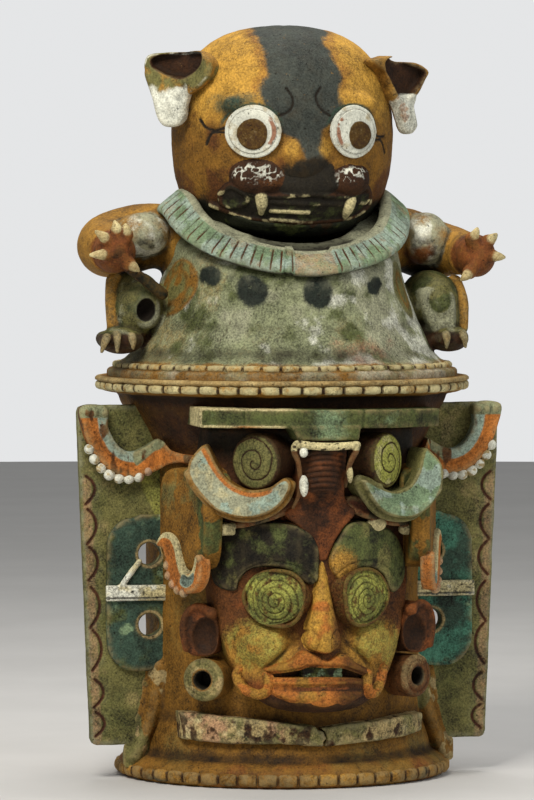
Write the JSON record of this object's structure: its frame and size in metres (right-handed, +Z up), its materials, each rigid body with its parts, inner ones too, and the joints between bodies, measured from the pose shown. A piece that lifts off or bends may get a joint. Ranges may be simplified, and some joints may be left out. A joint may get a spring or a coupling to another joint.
{
  "type": "lidded funerary urn",
  "caption": "Tall cylindrical clay burial urn with side wings, a deity mask in open beast jaws, and a lift-off lid bearing a crouching spotted cat.",
  "frame": {"origin": "centre of the underside of the base, on the vessel's axis", "axes": "+Z up along the vessel's axis, -Y towards the front that the mask looks out of, +X to a viewer's right"},
  "size_m": [0.644, 0.5873, 1.1203],
  "materials": {
    "ochre_clay": "matt fired clay with worn ochre slip",
    "brown_clay": "matt fired clay, dark brown",
    "buff_clay": "matt fired clay, buff",
    "cream_slip": "matt cream paint over clay, worn",
    "olive_slip": "matt olive grey paint over clay, worn",
    "teal_slip": "matt blue-green paint over clay, worn",
    "eye_green_slip": "matt yellow-green paint over clay, speckled",
    "grey_white_slip": "matt grey-white paint over clay, mottled"
  },
  "bodies": {
    "vessel": {"base_fillet": "buff_clay", "beast_eye_left": "eye_green_slip", "beast_eye_right": "eye_green_slip", "beast_lip_left": "brown_clay", "beast_lip_right": "brown_clay", "brow_plank": "olive_slip", "brow_plate_left": "olive_slip", "brow_plate_right": "olive_slip", "deity_mask": "brown_clay", "ear_spool_left": "ochre_clay", "ear_spool_right": "ochre_clay", "eyelid_fold_left": "grey_white_slip", "eyelid_fold_right": "grey_white_slip", "jaw_core": "brown_clay", "jaw_curl_left": "cream_slip", "jaw_curl_right": "cream_slip", "jaw_panel_left": "ochre_clay", "jaw_panel_right": "ochre_clay", "lower_lip": "ochre_clay", "mask_ear_left": "brown_clay", "mask_ear_right": "brown_clay", "mask_eye_left": "eye_green_slip", "mask_eye_right": "eye_green_slip", "mouth_hook_left": "ochre_clay", "mouth_hook_right": "ochre_clay", "neck_band_left": "buff_clay", "neck_band_right": "buff_clay", "nose": "ochre_clay", "rim_fillet": "cream_slip", "snout": "brown_clay", "snout_frame": "cream_slip", "tie_band_left": "cream_slip", "tie_band_right": "cream_slip", "tooth_plate": "olive_slip", "upper_lip": "ochre_clay", "vessel_body": "ochre_clay", "wing_beads_left": "cream_slip", "wing_beads_right": "cream_slip", "wing_bracket_left": "buff_clay", "wing_bracket_right": "buff_clay", "wing_left": "olive_slip", "wing_plaque_left": "teal_slip", "wing_plaque_right": "teal_slip", "wing_right": "olive_slip", "wing_scroll_left": "ochre_clay", "wing_scroll_right": "ochre_clay"},
    "lid": {"arm_left": "buff_clay", "arm_right": "buff_clay", "cat_ear_left": "cream_slip", "cat_ear_right": "cream_slip", "cat_eye_left": "cream_slip", "cat_eye_right": "cream_slip", "collar": "teal_slip", "haunch_left": "buff_clay", "haunch_right": "buff_clay", "head_shell": "ochre_clay", "lid_rope_band": "buff_clay", "lid_shell": "grey_white_slip", "lower_jaw": "brown_clay", "muzzle": "grey_white_slip"}
  },
  "joints": [
    {"name": "lid_lift", "type": "slide", "parent": "vessel", "child": "lid", "axis": [0, 0, 1], "range_m": [0, 0.25]}
  ]
}
